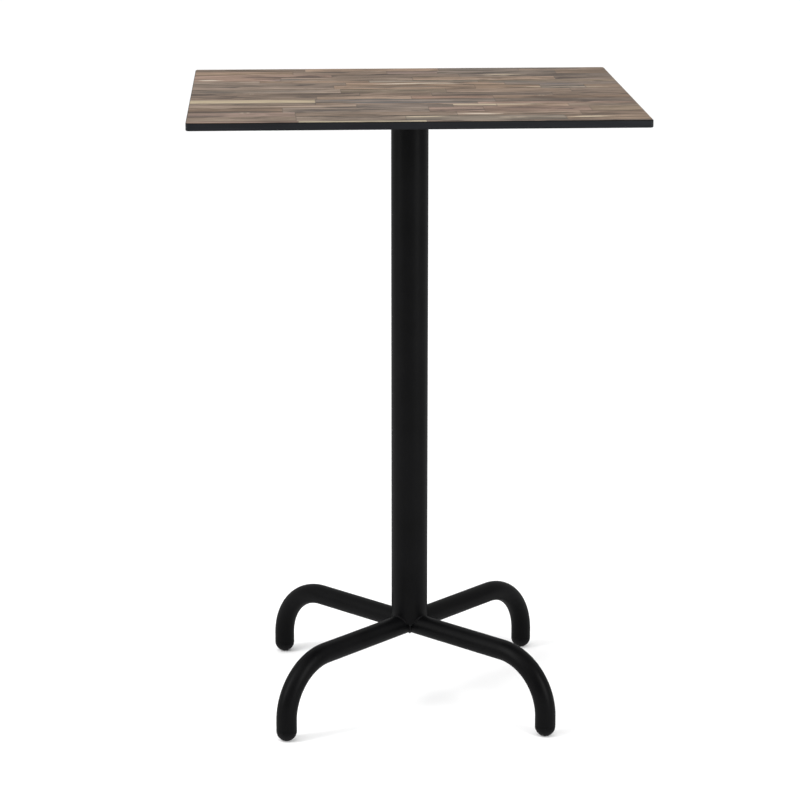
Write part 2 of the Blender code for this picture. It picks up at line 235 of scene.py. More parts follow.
# Streaks in the decor: start and end along X, level along Y, half width, colour and strength.
CREAM_STREAK = (0.47, 0.39, 0.285, 0.85)
WHITE_STREAK = (0.53, 0.465, 0.38, 0.85)
BLUE_STREAK = (0.118, 0.112, 0.112, 0.80)
SLATE_STREAK = (0.120, 0.110, 0.098, 0.70)
NAMED_STREAKS = [
    (-0.057, 0.102, 0.108, 0.0055, WHITE_STREAK),
    (-0.350, -0.300, 0.156, 0.0060, WHITE_STREAK),
    (0.120, 0.215, 0.216, 0.0060, CREAM_STREAK),
    (0.170, 0.330, 0.062, 0.0040, CREAM_STREAK),
    (0.040, 0.205, -0.128, 0.0085, CREAM_STREAK),
    (-0.040, 0.055, -0.244, 0.0060, CREAM_STREAK),
    (0.055, 0.133, -0.222, 0.0060, WHITE_STREAK),
    (0.222, 0.300, -0.258, 0.0100, CREAM_STREAK),
    (-0.115, 0.108, -0.104, 0.0130, BLUE_STREAK),
    (-0.150, 0.020, -0.070, 0.0070, BLUE_STREAK),
    (-0.238, -0.150, 0.165, 0.0080, BLUE_STREAK),
    (0.200, 0.290, 0.094, 0.0060, BLUE_STREAK),
    (-0.110, 0.060, 0.070, 0.0055, SLATE_STREAK),
    (-0.350, -0.120, 0.028, 0.0045, SLATE_STREAK),
    (-0.350, -0.200, -0.196, 0.0045, SLATE_STREAK),
    (0.060, 0.330, 0.288, 0.0100, SLATE_STREAK),
    (0.120, 0.240, 0.120, 0.0130, SLATE_STREAK),
]
# Knots: centre, and half sizes of the pale ring.
NAMED_KNOTS = [
    ((-0.262, -0.203), (0.009, 0.007)),
    ((-0.253, -0.007), (0.004, 0.006)),
    ((0.208, -0.035), (0.006, 0.004)),
]


def powder_coat():
    """Fine-textured black powder coat: a tight orange peel and faint shifts in gloss."""
    material, tree = new_material("black_powder_coat")
    peel = noise(tree, scale=1500, detail=2)
    waves = noise(tree, scale=300, detail=1)
    cloud = noise(tree, scale=14, detail=4)
    color = two_tone(tree, cloud, 0.35, 0.65, (0.0013, 0.0013, 0.0015), (0.0023, 0.0023, 0.0026))
    speck = ramp(tree, peel, 0.60, 0.72)
    color = blend_colors(tree, speck, color, (0.0080, 0.0080, 0.0085))
    gloss = linear(tree, cloud, 0.12, 0.30)
    gloss = linear(tree, peel, 0.10, gloss)
    surface = bump(tree, peel, 0.55, 0.00007)
    surface = bump(tree, waves, 0.50, 0.00014, surface)
    shade(tree, Base_Color=color, Roughness=gloss, Specular_IOR_Level=0.15, Normal=surface)
    soften(tree, 0.62, color, surface)
    return material


def weld_coat():
    """The same coat over a weld, a little glossier where it pooled."""
    material, tree = new_material("black_coated_weld")
    peel = noise(tree, scale=900, detail=3)
    color = two_tone(tree, peel, 0.4, 0.7, (0.0019, 0.0019, 0.0022), (0.0031, 0.0031, 0.0034))
    surface = bump(tree, peel, 0.3, 0.00010)
    shade(tree, Base_Color=color, Roughness=linear(tree, peel, 0.12, 0.30),
          Specular_IOR_Level=0.13, Normal=surface)
    soften(tree, 0.45, color, surface)
    return material


def laminate_edge():
    """Milled compact laminate: pressed paper layers show as fine level lines."""
    material, tree = new_material("laminate_edge")
    layers = noise(tree, stretched(tree, (9, 9, 5200)), detail=2, roughness=0.6)
    chatter = noise(tree, stretched(tree, (420, 420, 6)), detail=2)
    cloud = noise(tree, stretched(tree, (12, 12, 60)), detail=3)
    color = two_tone(tree, layers, 0.35, 0.70, (0.0036, 0.0041, 0.0053), (0.0060, 0.0068, 0.0086))
    color = blend_colors(tree, ramp(tree, cloud, 0.4, 0.7, 0.0, 0.5), color,
                         (0.0080, 0.0089, 0.0109))
    surface = bump(tree, layers, 0.30, 0.00008)
    surface = bump(tree, chatter, 0.10, 0.00005, surface)
    shade(tree, Base_Color=color, Roughness=linear(tree, layers, 0.14, 0.40),
          Specular_IOR_Level=0.14, Normal=surface)
    return material


def laminate_chamfer_painted_shade():
    """The same core, matt where the cutter left it; its darker colour is painted shade for the
    chamfer's dark line.
    """
    material, tree = new_material("laminate_chamfer_painted_shade")
    chatter = noise(tree, stretched(tree, (520, 520, 900)), detail=3)
    cloud = noise(tree, stretched(tree, (15, 15, 15)), detail=3)
    # Painted shade: tones darker than the edge's, so the chamfer shows as a shaded dark line.
    color = two_tone(tree, cloud, 0.35, 0.65, (0.0030, 0.0028, 0.0028), (0.0052, 0.0050, 0.0050))
    shade(tree, Base_Color=color, Roughness=linear(tree, chatter, 0.15, 0.62),
          Specular_IOR_Level=0.04, Normal=bump(tree, chatter, 0.25, 0.00006))
    return material


def laminate_back():
    """The underside's plain dark sheet with a pearl grain."""
    material, tree = new_material("laminate_back")
    pearl = noise(tree, scale=700, detail=3)
    cloud = noise(tree, scale=9, detail=4)
    color = two_tone(tree, cloud, 0.3, 0.7, (0.0125, 0.0132, 0.0150), (0.0175, 0.0185, 0.0205))
    shade(tree, Base_Color=color, Roughness=linear(tree, pearl, 0.15, 0.45),
          Specular_IOR_Level=0.20, Normal=bump(tree, pearl, 0.35, 0.00010))
    return material


def moulded_plastic():
    """Black moulded plastic with a spark-eroded grain and slight flow marks."""
    material, tree = new_material("black_moulded_plastic")
    grain = noise(tree, scale=1100, detail=3, roughness=0.6)
    flow = noise(tree, stretched(tree, (60, 60, 260)), detail=2, distortion=1.5)
    color = two_tone(tree, flow, 0.35, 0.7, (0.0020, 0.0020, 0.0022), (0.0036, 0.0036, 0.0039))
    surface = bump(tree, grain, 0.30, 0.00008)
    shade(tree, Base_Color=color, Roughness=linear(tree, grain, 0.18, 0.36),
          Specular_IOR_Level=0.16, Normal=surface)
    soften(tree, 0.55, color, surface)
    return material


def worn_metal(name, tones, patch_noise, marks_scale, marks_detail, roughness):
    """Bare metal, dulled in patches, with the fine marks of drawing or turning."""
    material, tree = new_material(name)
    patches = noise(tree, **patch_noise)
    marks = noise(tree, stretched(tree, marks_scale), detail=marks_detail)
    shade(tree, Base_Color=two_tone(tree, patches, 0.35, 0.65, *tones), Metallic=1.0,
          Roughness=linear(tree, patches, *roughness), Normal=bump(tree, marks, 0.25, 0.00004))
    return material


def ellipse_distance(tree, place, centre, half):
    """Distance from centre in the top's plane, in units of the half sizes."""
    offset = combine(tree, "SUBTRACT", place, (*centre, 0))
    unit = combine(tree, "MULTIPLY", offset, (1 / half[0], 1 / half[1], 0))
    return node(tree, "ShaderNodeVectorMath", {0: unit}, operation="LENGTH").outputs["Value"]


def add_streaks(tree, color, moved, fibres, figure):
    """Streaks that stand out: lens-shaped, with a wandering level and a ragged edge."""
    along, level_of, _ = axes(tree, moved)
    for start, end, level, half_width, (*tone, strength) in NAMED_STREAKS:
        tip = min(STREAK_TIP, (end - start) * 0.45)
        ends = times(tree, ramp(tree, along, start - STREAK_FADE, start + tip),
                     ramp(tree, along, end + STREAK_FADE, end - tip))
        off = calc(tree, "ABSOLUTE", calc(tree, "SUBTRACT", level_of, level))
        ragged = linear(tree, centred(tree, fibres), half_width * STREAK_RAGGED, off)
        ragged = calc(tree, "DIVIDE", ragged, calc(tree, "ADD", ends, 0.02))
        body = ramp(tree, ragged, half_width * 1.3, half_width * 0.4)
        amount = times(tree, times(tree, body, strength),
                       ramp(tree, figure, 0.30, 0.52, 0.55, 1.0))
        amount = times(tree, amount, ramp(tree, ends, 0.0, 0.12, 0.18, 1.0))
        color = blend_colors(tree, amount, color, tone)
    return color


def add_knots(tree, color, moved, shift, fibres):
    """Knots, scattered and named: a dark heart in a pale ring, drawn out along the grain."""
    cells = node(tree, "ShaderNodeTexVoronoi", {
        "Vector": stretched(tree, (7, 21, 1), shift), "Scale": 1.0, "Randomness": 1.0})
    chance = node(tree, "ShaderNodeSeparateColor", {0: cells.outputs["Color"]}).outputs[0]
    wobble = times(tree, centred(tree, fibres), 0.09)
    scattered = calc(tree, "ADD", cells.outputs["Distance"], wobble)
    marks = [(scattered, ramp(tree, chance, 0.89, 0.91))]
    for centre, half in NAMED_KNOTS:
        near = times(tree, ellipse_distance(tree, moved, centre, half), 0.18)
        marks.append((near, 1.0))
    for near, weight in marks:
        halo = times(tree, ramp(tree, near, 0.19, 0.12), ramp(tree, near, 0.04, 0.09))
        halo = times(tree, halo, times(tree, weight, 0.42))
        color = blend_colors(tree, halo, color, KNOT_RING)
        heart = times(tree, ramp(tree, near, 0.075, 0.040), weight)
        color = blend_colors(tree, times(tree, heart, 0.85), color, KNOT_HEART)
    return color


def reclaimed_decor():
    """Printed planks: each stave's colour, joints, fibres, figure, streaks, knots and checks.

    The staves carry their own colour and limits as face attributes: stave_low holds the low
    corner and a seed, stave_high the high corner and how strongly the stave is figured.
    """
    material, tree = new_material("reclaimed_decor")
    place = object_place(tree)
    base = node(tree, "ShaderNodeAttribute", attribute_name="stave_color").outputs["Color"]
    low = node(tree, "ShaderNodeAttribute", attribute_name="stave_low").outputs["Vector"]
    high = node(tree, "ShaderNodeAttribute", attribute_name="stave_high").outputs["Vector"]
    seed = axes(tree, low)[2]
    figured = axes(tree, high)[2]
    shift = node(tree, "ShaderNodeCombineXYZ", {
        axis: times(tree, seed, step) for axis, step in enumerate(SEED_STEPS)
    }).outputs[0]

    # The grain wanders: the level across a stave is moved a few millimetres as it runs.
    sway = noise(tree, stretched(tree, (6, 9, 1), shift), detail=2, roughness=0.45)
    ripple = noise(tree, stretched(tree, (22, 40, 1), shift), detail=1)
    wave = times(tree, centred(tree, sway), GRAIN_SWAY)
    wave = linear(tree, centred(tree, ripple), GRAIN_RIPPLE, wave)
    moved = combine(tree, "ADD", place,
                    node(tree, "ShaderNodeCombineXYZ", {1: wave}).outputs[0])

    def along_grain(scale, **settings):
        scaled = combine(tree, "MULTIPLY", moved, scale)
        return noise(tree, combine(tree, "ADD", scaled, shift), **settings)

    bands = along_grain((5.5, 40, 1), detail=3, roughness=0.5)
    figure = along_grain((11, 72, 1), detail=4, roughness=0.58, distortion=0.25)
    fibres = along_grain((13, 430, 1), detail=4, roughness=0.6)
    hairs = along_grain((50, 2100, 1), detail=2, roughness=0.6)
    patches = along_grain((5.5, 20, 1), detail=3)

    # Broad tones: bands, patches, and the figure's dark and pale lines.
    dark_figure = times(tree, ramp(tree, figure, 0.465, 0.40), figured)
    color = base
    for amount, tint in (
        (ramp(tree, bands, 0.40, 0.64), (0.67, 0.67, 0.67)),
        (ramp(tree, patches, 0.50, 0.66, 0.0, 0.60), (0.88, 0.90, 0.90)),
        (dark_figure, (0.38, 0.40, 0.44)),
        (ramp(tree, figure, 0.57, 0.66, 0.0, 0.65), (1.38, 1.40, 1.42)),
    ):
        color = blend_colors(tree, amount, color, tinted(tree, base, tint))
    color = add_streaks(tree, color, moved, fibres, figure)

    # Fibres and hairs darken or lighten whatever lies under them.
    for amount, tint in (
        (ramp(tree, fibres, 0.50, 0.34, 0.0, 0.72), (0.58, 0.57, 0.57)),
        (ramp(tree, fibres, 0.58, 0.72, 0.0, 0.45), (1.36, 1.34, 1.32)),
        (ramp(tree, hairs, 0.42, 0.62, 0.0, 0.32), (0.60, 0.59, 0.58)),
    ):
        color = blend_colors(tree, amount, color, tinted(tree, color, tint))
    color = add_knots(tree, color, moved, shift, fibres)

    # Drying checks: hairline cracks along the grain.
    checks_field = along_grain((5, 130, 1), detail=2, roughness=0.4, distortion=0.6)
    check = ramp(tree, calc(tree, "ABSOLUTE", centred(tree, checks_field)), 0.012, 0.003)
    check = times(tree, check, ramp(tree, patches, 0.50, 0.58))
    color = blend_colors(tree, times(tree, check, 0.70), color, CHECK_TONE)

    # Joints between staves: the distance to the nearest side of the stave.
    from_low = axes(tree, combine(tree, "SUBTRACT", place, low))
    to_high = axes(tree, combine(tree, "SUBTRACT", high, place))
    across = calc(tree, "MINIMUM", from_low[1], to_high[1])
    along = calc(tree, "MINIMUM", from_low[0], to_high[0])
    joint = ramp(tree, calc(tree, "MINIMUM", across, along), JOINT_REACH, JOINT_DEEPEST)
    color = blend_colors(tree, times(tree, joint, 0.42), color, JOINT_TONE)
    # Stained sides: darker towards the long joints, in places only.
    stain = times(tree, ramp(tree, across, STAIN_REACH, STAIN_DEEPEST),
                  ramp(tree, sway, 0.50, 0.62))
    color = blend_colors(tree, times(tree, stain, 0.80), color,
                         tinted(tree, color, (0.46, 0.46, 0.48)))

    relief = linear(tree, fibres, 0.6, times(tree, hairs, 0.4))
    relief = calc(tree, "SUBTRACT", relief, times(tree, joint, 0.5))
    relief = calc(tree, "SUBTRACT", relief, times(tree, check, 0.4))
    gloss = linear(tree, fibres, -0.12, 0.66)
    surface = bump(tree, relief, 0.35, 0.00015)
    shade(tree, Base_Color=color, Roughness=gloss, Specular_IOR_Level=0.12, Normal=surface)
    soften(tree, 0.70, color, surface)
    return material


COAT = powder_coat()
WELD = weld_coat()
EDGE = laminate_edge()
SHADED_CHAMFER = laminate_chamfer_painted_shade()
BACK = laminate_back()
PLASTIC = moulded_plastic()
ZINC = worn_metal("zinc_plated_steel", ((0.42, 0.43, 0.45), (0.66, 0.67, 0.68)),
                  {"scale": 260, "detail": 4}, (2600, 2600, 90), 2, (0.28, 0.20))
BRASS = worn_metal("turned_brass", ((0.50, 0.33, 0.11), (0.66, 0.47, 0.20)),
                   {"scale": 320, "detail": 3}, (80, 80, 5200), 1, (0.20, 0.22))
DECOR = reclaimed_decor()


# ---- mesh helpers

def show(name, data):
    """An object in the scene for a mesh, a light or a camera."""
    shown = bpy.data.objects.new(name, data)
    bpy.context.scene.collection.objects.link(shown)
    return shown


def mesh_object(name, bm, material, smooth=True):
    mesh = bpy.data.meshes.new(name)
    bmesh.ops.recalc_face_normals(bm, faces=bm.faces)
    bm.to_mesh(mesh)
    bm.free()
    mesh.materials.append(material)
    if smooth:
        mesh.shade_smooth()
        mesh.set_sharp_from_angle(angle=SHARP_ANGLE)
    return show(name, mesh)


def settle(piece, body, slot, *nodes):
    """The piece moves with a body and stands for CAD nodes; slot is not used."""
    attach(piece, body)
    if nodes:
        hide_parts(*nodes)


def turned_copy(piece, name, turn):
    """A copy of a mesh piece, turned about the column's axis, with its place in its mesh."""
    mesh = piece.data.copy()
    mesh.transform(Matrix.Rotation(turn, 4, "Z"))
    return show(name, mesh)


def remove(piece):
    mesh = piece.data
    bpy.data.objects.remove(piece, do_unlink=True)
    bpy.data.meshes.remove(mesh)


def share_out(piece, name, *node_starts):
    """Turned copies of a steel piece at the four corners, in place of the piece itself."""
    for corner, turn in CORNERS.items():
        settle(turned_copy(piece, f"{name}_{corner}", turn), "table", "black_steel",
               *(f"{start}_{corner}" for start in node_starts))
    remove(piece)


def bridge(bm, first, second):
    """Faces between two closed rings of equal length, or between a ring and one vertex."""
    if len(first) == 1:
        first, second = second, first
    count = len(first)
    for index in range(count):
        following = (index + 1) % count
        near, far = first[index], first[following]
        if len(second) == 1:
            bm.faces.new((near, far, second[0]))
        else:
            bm.faces.new((near, far, second[following], second[index]))


def polar(radius, angle, height):
    return Vector((radius * math.cos(angle), radius * math.sin(angle), height))


def hexagon(across_flats):
    """How far a hexagon's side is from its middle, by direction."""
    return lambda angle: across_flats / 2 / math.cos(angle % (math.pi / 3) - math.pi / 6)


def ring_of(bm, place, height, radius, sides):
    """A ring of vertices at a height; radius is a number or a function of the angle."""
    angles = [step / sides * math.tau for step in range(sides)]
    return [bm.verts.new(place + polar(radius(angle) if callable(radius) else radius,
                                       angle, height)) for angle in angles]


def join_rings(bm, rings, closed=False, capped=False):
    """Bridges each ring to the next; closed joins the last to the first, capped fills both."""
    for first, second in zip(rings, rings[1:]):
        bridge(bm, first, second)
    if closed:
        bridge(bm, rings[-1], rings[0])
    if capped:
        for ring in (rings[0], rings[-1]):
            if len(ring) > 1:
                bm.faces.new(ring)


def turned(name, material, profile, sides, place=Vector(), **ends):
    """Spins (radius, height) points about a vertical axis; radius 0 becomes one vertex."""
    bm = bmesh.new()
    rings = []
    for radius, height in profile:
        if radius == 0:
            rings.append([bm.verts.new(place + polar(0, 0, height))])
        else:
            rings.append(ring_of(bm, place, height, radius, sides))
    join_rings(bm, rings, **ends)
    return mesh_object(name, bm, material)


def sweep(bm, points, radii, sides):
    """A closed tube through points, with a radius at each and flat ends."""
    angles = [step / sides * math.tau for step in range(sides)]
    rings = []
    for index, point in enumerate(points):
        before = points[max(index - 1, 0)]
        after = points[min(index + 1, len(points) - 1)]
        along = (after - before).normalized()
        across = along.orthogonal() if index == 0 else across - along * across.dot(along)
        across.normalize()
        other = along.cross(across)
        offsets = [across * math.cos(angle) + other * math.sin(angle) for angle in angles]
        rings.append([bm.verts.new(point + offset * radii[index]) for offset in offsets])
    join_rings(bm, rings, capped=True)


def rounded_outline(half_x, half_y, radius, steps):
    """Corner points of a rounded rectangle, anticlockwise from the +X side."""
    points = []
    signs = [(1, 1), (-1, 1), (-1, -1), (1, -1)]
    for turn, (sign_x, sign_y) in enumerate(signs):
        for step in range(steps + 1):
            angle = (turn + step / steps) * math.pi / 2
            points.append(((half_x - radius) * sign_x + radius * math.cos(angle),
                           (half_y - radius) * sign_y + radius * math.sin(angle)))
    return points


# ---- tabletop

TOP_CORNER_RADIUS = 0.005
TOP_CHAMFER = 0.0011  # milled all round, above and below
DECOR_DEPTH = 0.00015  # the printed face is thin, and the core shows in the chamfer
CORNER_STEPS = 10
STAVE_SEED = 7
STAVE_MARGIN = 0.002  # a face this near a stave takes its colour at the rim
SIDE_SHARE = 0.98  # past this share of the half size, a rim vertex is on that side
CHAMFER_RISE = 0.3  # a face whose normal has more Z than this is a chamfer
TINY = 1e-6  # staves closer than this touch

# Rows of staves from the front edge to the back: widths in proportion, scaled to the depth.
ROW_WIDTHS = [14, 46, 40, 50, 28, 22, 35, 34, 37, 42, 44, 33, 24, 40, 36, 40, 35]
STAVE_LENGTHS = (0.11, 0.34)  # shortest and longest
SHORTEST_REST = STAVE_LENGTHS[0] * 0.6  # a shorter rest is joined to the stave before it
TINTS = (0.89, 1.11)  # a stave's own brightness, from and to
WARMTHS = (-0.05, 0.05)  # its shift from blue to red
SEEDS = (0, 9)
FIGURES = (0.5, 1)  # how strongly it is figured
CREAM_FIGURE = 0.3
STAVE_COLORS = {
    "brown": (0.228, 0.169, 0.129),
    "tan": (0.264, 0.197, 0.149),
    "rosy": (0.246, 0.177, 0.141),
    "grey": (0.215, 0.168, 0.134),
    "olive": (0.214, 0.171, 0.132),
    "blue": (0.182, 0.153, 0.134),
    "dark": (0.188, 0.145, 0.116),
    "cream": (0.400, 0.325, 0.225),
}
COMMON_STAVES = ["brown", "tan", "rosy", "grey", "brown", "tan", "olive", "brown", "dark"]

# Staves that stand out, by row: where each starts and ends along X, and its colour.
NAMED_STAVES = {
    0: [(-0.182, 0.010, "cream"), (0.010, 0.170, "tan")],
    1: [(-0.350, -0.185, "tan"), (-0.185, -0.020, "grey"), (0.222, 0.350, "tan")],
    2: [(-0.350, -0.186, "rosy"), (-0.186, 0.060, "grey"), (0.060, 0.250, "brown")],
    3: [(-0.350, -0.205, "brown"), (-0.205, 0.020, "grey"), (0.105, 0.270, "rosy")],
    4: [(-0.090, 0.060, "blue"), (0.128, 0.240, "tan")],
    5: [(-0.153, 0.100, "grey")],
    6: [(-0.350, -0.153, "cream"), (-0.153, 0.130, "grey")],
    7: [(-0.350, -0.150, "brown"), (0.000, 0.130, "rosy")],
    9: [(-0.350, -0.110, "tan"), (-0.110, 0.060, "olive")],
    10: [(-0.120, 0.110, "tan"), (0.217, 0.290, "grey")],
    12: [(-0.350, -0.240, "tan"), (-0.060, 0.120, "olive")],
    14: [(-0.350, -0.120, "rosy")],
    15: [(0.060, 0.260, "grey")],
}


def row_limits():
    """Each row's near and far side along Y."""
    far = -TOP_HALF_Y
    for width in ROW_WIDTHS:
        near, far = far, far + width / sum(ROW_WIDTHS) * 2 * TOP_HALF_Y
        yield near, far


def row_staves(row, chance):
    """(start, end, colour name) along a row; gaps between named staves are filled."""
    named = sorted(NAMED_STAVES.get(row, []))
    staves = []
    position = -TOP_HALF_X
    for start, end, color in [*named, (TOP_HALF_X, TOP_HALF_X, None)]:
        while position < start - TINY:
            reach = position + chance.uniform(*STAVE_LENGTHS)
            if start - reach < SHORTEST_REST:
                reach = start
            staves.append((position, reach, chance.choice(COMMON_STAVES)))
            position = reach
        if color:
            staves.append((start, end, color))
            position = end
    return staves


def top_outline(bm, inset, height):
    """A ring of vertices round the top, moved in by inset."""
    outline = rounded_outline(TOP_HALF_X - inset, TOP_HALF_Y - inset,
                              TOP_CORNER_RADIUS - inset / 2, CORNER_STEPS)
    return [bm.verts.new((x, y, height)) for x, y in outline]


def cut_staves(bm, chance):
    """Cuts the flat face along every stave's sides; returns what each stave looks like."""
    rows = list(row_limits())
    for _, high in rows[:-1]:
        bmesh.ops.bisect_plane(bm, geom=bm.verts[:] + bm.edges[:] + bm.faces[:],
                               plane_co=(0, high, HEIGHT), plane_no=(0, 1, 0))
    laid = []
    for row, (low, high) in enumerate(rows):
        staves = row_staves(row, chance)
        for start, end, color in staves:
            tint = chance.uniform(*TINTS)
            warmth = chance.uniform(*WARMTHS)
            seed = chance.uniform(*SEEDS)
            figured = CREAM_FIGURE if color == "cream" else chance.uniform(*FIGURES)
            red, green, blue = STAVE_COLORS[color]
            laid.append({"low": (start, low, seed), "high": (end, high, figured),
                         "color": (red * tint * (1 + warmth), green * tint,
                                   blue * tint * (1 - warmth))})
        for _, end, _ in staves[:-1]:
            faces = [f for f in bm.faces if low < f.calc_center_median().y < high]
            edges = {e for f in faces for e in f.edges}
            verts = {v for f in faces for v in f.verts}
            bmesh.ops.bisect_plane(bm, geom=list(verts) + list(edges) + faces,
                                   plane_co=(end, 0, HEIGHT), plane_no=(1, 0, 0))
    return laid


def close_sheet(bm):
    """Gives the cut face its slanted rim and a flat face below."""
    rim = [edge for edge in bm.edges if len(edge.link_faces) == 1]
    walls = bmesh.ops.extrude_edge_only(bm, edges=rim)["geom"]
    for vert in walls:
        if isinstance(vert, bmesh.types.BMVert):
            on_side = (abs(vert.co.x / TOP_HALF_X) > SIDE_SHARE,
                       abs(vert.co.y / TOP_HALF_Y) > SIDE_SHARE)
            vert.co.x += math.copysign(DECOR_DEPTH, vert.co.x) * on_side[0]
            vert.co.y += math.copysign(DECOR_DEPTH, vert.co.y) * on_side[1]
            vert.co.z -= DECOR_DEPTH
    bmesh.ops.contextual_create(bm, geom=[e for e in bm.edges if len(e.link_faces) == 1])


def paint_staves(mesh, laid, centres):
    """Writes each stave's corners and colour to the faces that lie in it.

    centres are the upper faces' middles; the rim and the lower face follow them in the mesh.
    """
    keys = ("low", "high", "color")
    for key in keys:
        mesh.attributes.new(f"stave_{key}", "FLOAT_VECTOR", "FACE")
    layers = {key: mesh.attributes[f"stave_{key}"].data for key in keys}
    for index, polygon in enumerate(mesh.polygons):
        upper = index < len(centres)
        centre = centres[index] if upper else polygon.center
        for stave in laid:
            (x_low, y_low, _), (x_high, y_high, _) = stave["low"], stave["high"]
            near = (x_low - STAVE_MARGIN <= centre.x <= x_high + STAVE_MARGIN
                    and y_low - STAVE_MARGIN <= centre.y <= y_high + STAVE_MARGIN)
            inside = x_low <= centre.x <= x_high and y_low <= centre.y <= y_high
            if near:
                for key, layer in layers.items():
                    layer[index].vector = stave[key]
                if inside or not upper:
                    break


def make_decor_sheet():
    """The printed face: one flat sheet whose upper face is cut along every stave's sides."""
    bm = bmesh.new()
    bm.faces.new(top_outline(bm, TOP_CHAMFER, HEIGHT))
    laid = cut_staves(bm, random.Random(STAVE_SEED))
    centres = [face.calc_center_median() for face in bm.faces]
    close_sheet(bm)
    piece = mesh_object("decor_sheet", bm, DECOR, smooth=False)
    paint_staves(piece.data, laid, centres)
    settle(piece, "table", "decor", "tabletop_decor_sheet")


def make_core():
    """The black core, chamfered above and below, between the printed face and the backing."""
    inset = TOP_CHAMFER - DECOR_DEPTH
    top = HEIGHT - DECOR_DEPTH
    bottom = UNDERSIDE + DECOR_DEPTH
    bm = bmesh.new()
    rings = [top_outline(bm, inset, top), top_outline(bm, 0.0, top - inset),
             top_outline(bm, 0.0, UNDERSIDE + TOP_CHAMFER), top_outline(bm, inset, bottom)]
    join_rings(bm, rings)
    bm.normal_update()
    # The chamfer faces take the second material, whose darker colour is painted shade.
    for face in bm.faces:
        if abs(face.normal.z) > CHAMFER_RISE:
            face.material_index = 1
    bm.faces.new(rings[0])
    bm.faces.new(rings[-1])
    slab = mesh_object("core_slab", bm, EDGE)
    slab.data.materials.append(SHADED_CHAMFER)
    settle(slab, "table", "laminate_core", "tabletop_core")

    bm = bmesh.new()
    rings = [top_outline(bm, inset, bottom), top_outline(bm, TOP_CHAMFER, UNDERSIDE)]
    join_rings(bm, rings, capped=True)
    settle(mesh_object("backing_sheet", bm, BACK), "table", "laminate_core",
           "tabletop_backing_sheet")


# ---- column, legs and welds

COLUMN_SIDES = 128
COLUMN_WALL = 0.002
COLUMN_EASE = 0.0004  # the column's filed upper rim
LEG_BEND_RADIUS = 0.092
LEG_SIDES = 64
LEG_BEND_STEPS = 40
LEG_STRAIGHT_STEPS = 6
LEG_CLEAR = 1.25  # the mitre ends within this many leg radii of the axis
LEG_GAP = 0.00015  # half the joint between neighbouring mitres
NOTCH_GAP = 0.0003
BEAD_RADIUS = 0.0019
BEAD_PITCH = 0.0024  # from one ripple of a weld to the next
BEAD_SIDES = 14
BEAD_STEP = 0.0004  # between the rings of a bead
ROUGH_STEPS = 200  # for measuring a bead's path
BEAD_RIPPLE = 0.13  # how much of its radius a bead loses in each ripple
TAB_BEAD_RADIUS = 0.0025
MITRE_SPAN = (math.radians(6), math.radians(106))
TAB_SPAN = (math.radians(45 - 11), math.radians(45 + 11))
ARM_WIDTH = 0.030
ARM_CORNER = 0.002
ARM_WELD_DROP = 0.003  # the arms' beads stop this far below the arms' upper face


def make_column():
    """A tube whose lower end is notched over the crossed legs."""
    inner = COLUMN_RADIUS - COLUMN_WALL
    profile = [(COLUMN_RADIUS - COLUMN_EASE, COLUMN_TOP),
               (COLUMN_RADIUS, COLUMN_TOP - COLUMN_EASE),
               (COLUMN_RADIUS, COLUMN_BOTTOM), (inner, COLUMN_BOTTOM), (inner, COLUMN_TOP)]
    column = turned("column", COAT, profile, COLUMN_SIDES, closed=True)
    cutters = []
    for corner in ("front_left", "front_right"):
        bm = bmesh.new()
        bmesh.ops.create_cone(bm, cap_ends=True, segments=LEG_SIDES,
                              radius1=LEG_RADIUS + NOTCH_GAP, radius2=LEG_RADIUS + NOTCH_GAP,
                              depth=4 * COLUMN_RADIUS)
        lying = polar(1, CORNERS[corner], 0).to_track_quat("Z", "Y")
        place = Matrix.Translation((0, 0, LEG_AXIS_HEIGHT)) @ lying.to_matrix().to_4x4()
        bmesh.ops.transform(bm, matrix=place, verts=bm.verts)
        cutter = mesh_object(f"notch_{corner}", bm, COAT)
        modifier = column.modifiers.new(cutter.name, "BOOLEAN")
        modifier.operation = "DIFFERENCE"
        modifier.object = cutter
        cutters.append(cutter)
    bpy.context.view_layer.update()
    graph = bpy.context.evaluated_depsgraph_get()
    cut = bpy.data.meshes.new_from_object(column.evaluated_get(graph))
    column.modifiers.clear()
    column.data = cut
    cut.shade_smooth()
    cut.set_sharp_from_angle(angle=SHARP_ANGLE)
    for cutter in cutters:
        remove(cutter)
    settle(column, "table", "black_steel", "column_tube")


def leg_stations():
    """(point, tangent) along the leg's centreline after the mitre, out along +X and down."""
    bend_start = FOOT_CIRCLE_RADIUS - LEG_BEND_RADIUS
    bend_height = LEG_AXIS_HEIGHT - LEG_BEND_RADIUS
    first = LEG_RADIUS * LEG_CLEAR
    for step in range(LEG_STRAIGHT_STEPS):
        along = first + step / LEG_STRAIGHT_STEPS * (bend_start - first)
        yield Vector((along, 0, LEG_AXIS_HEIGHT)), Vector((1, 0, 0))
    for step in range(LEG_BEND_STEPS + 1):
        angle = step / LEG_BEND_STEPS * math.pi / 2
        yield (Vector((bend_start + LEG_BEND_RADIUS * math.sin(angle), 0,
                       bend_height + LEG_BEND_RADIUS * math.cos(angle))),
               Vector((math.cos(angle), 0, -math.sin(angle))))
    yield Vector((FOOT_CIRCLE_RADIUS, 0, LEG_END)), Vector((0, 0, -1))


